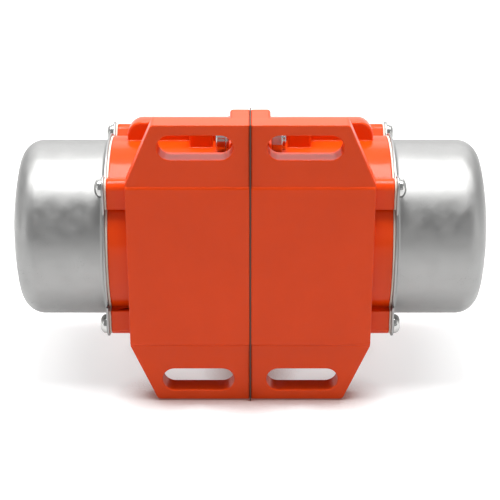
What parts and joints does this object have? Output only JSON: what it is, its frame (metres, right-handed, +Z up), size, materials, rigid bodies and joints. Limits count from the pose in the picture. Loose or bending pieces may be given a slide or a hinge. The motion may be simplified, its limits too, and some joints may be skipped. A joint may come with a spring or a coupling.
{
  "type": "vibration motor",
  "caption": "Foot-mounted vibration motor: split clamped housing with a slotted foot plate, drawn steel end covers, and adjustable eccentric weights on the shaft ends.",
  "frame": {"origin": "centre of the mounting sole, on the sole's face and on the joint between the housing halves", "axes": "+X along the motor's shaft towards the half with the cable gland, -Y out of the sole, +Z up as the motor hangs on an upright wall"},
  "size_m": [0.198, 0.108, 0.1228],
  "materials": {
    "housing_paint": "gloss",
    "cover_steel": "satin",
    "screw_steel": "polished",
    "gasket_rubber": "matte",
    "seal_rubber": "matte",
    "bearing_steel": "polished",
    "spring_steel": "satin",
    "shaft_steel": "satin",
    "core_steel": "matte",
    "cage_aluminium": "satin",
    "weight_iron": "matte",
    "winding_copper": "gloss",
    "gland_metal": "satin"
  },
  "bodies": {
    "housing": {"left_housing": "housing_paint", "right_housing": "housing_paint", "centre_gasket": "gasket_rubber", "left_end_gasket": "gasket_rubber", "right_end_gasket": "gasket_rubber", "left_cover": "cover_steel", "right_cover": "cover_steel", "left_cover_screws": "screw_steel", "right_cover_screws": "screw_steel", "clamp_bolts": "screw_steel", "clamp_nuts": "screw_steel", "clamp_washers": "screw_steel", "left_bearing_outer_ring": "bearing_steel", "right_bearing_outer_ring": "bearing_steel", "left_bearing_seals": "seal_rubber", "right_bearing_seals": "seal_rubber", "bearing_circlips": "spring_steel", "stator_core": "core_steel", "stator_winding": "winding_copper", "gland_body": "gland_metal", "gland_nut": "gland_metal", "gland_seal": "seal_rubber"},
    "rotor": {"left_bearing_inner_ring": "bearing_steel", "right_bearing_inner_ring": "bearing_steel", "rotor_shaft": "shaft_steel", "shaft_spacers": "shaft_steel", "rotor_core": "core_steel", "rotor_end_rings": "cage_aluminium", "left_fixed_weight": "weight_iron", "right_fixed_weight": "weight_iron", "weight_keys": "shaft_steel", "shaft_circlips": "spring_steel"},
    "left_weight": {"left_adjustable_weight": "weight_iron", "left_weight_set_screw": "spring_steel"},
    "right_weight": {"right_adjustable_weight": "weight_iron", "right_weight_set_screw": "spring_steel"}
  },
  "joints": [
    {"name": "rotor_spin", "type": "hinge", "parent": "housing", "child": "rotor", "pos_m": [0, 0.0415, 0], "axis": [1, 0, 0], "continuous": true},
    {"name": "left_weight_setting", "type": "hinge", "parent": "rotor", "child": "left_weight", "pos_m": [-0.0775, 0.0415, 0], "axis": [1, 0, 0], "range_deg": [0, 180]},
    {"name": "right_weight_setting", "type": "hinge", "parent": "rotor", "child": "right_weight", "pos_m": [0.0775, 0.0415, 0], "axis": [1, 0, 0], "range_deg": [0, 180]}
  ]
}
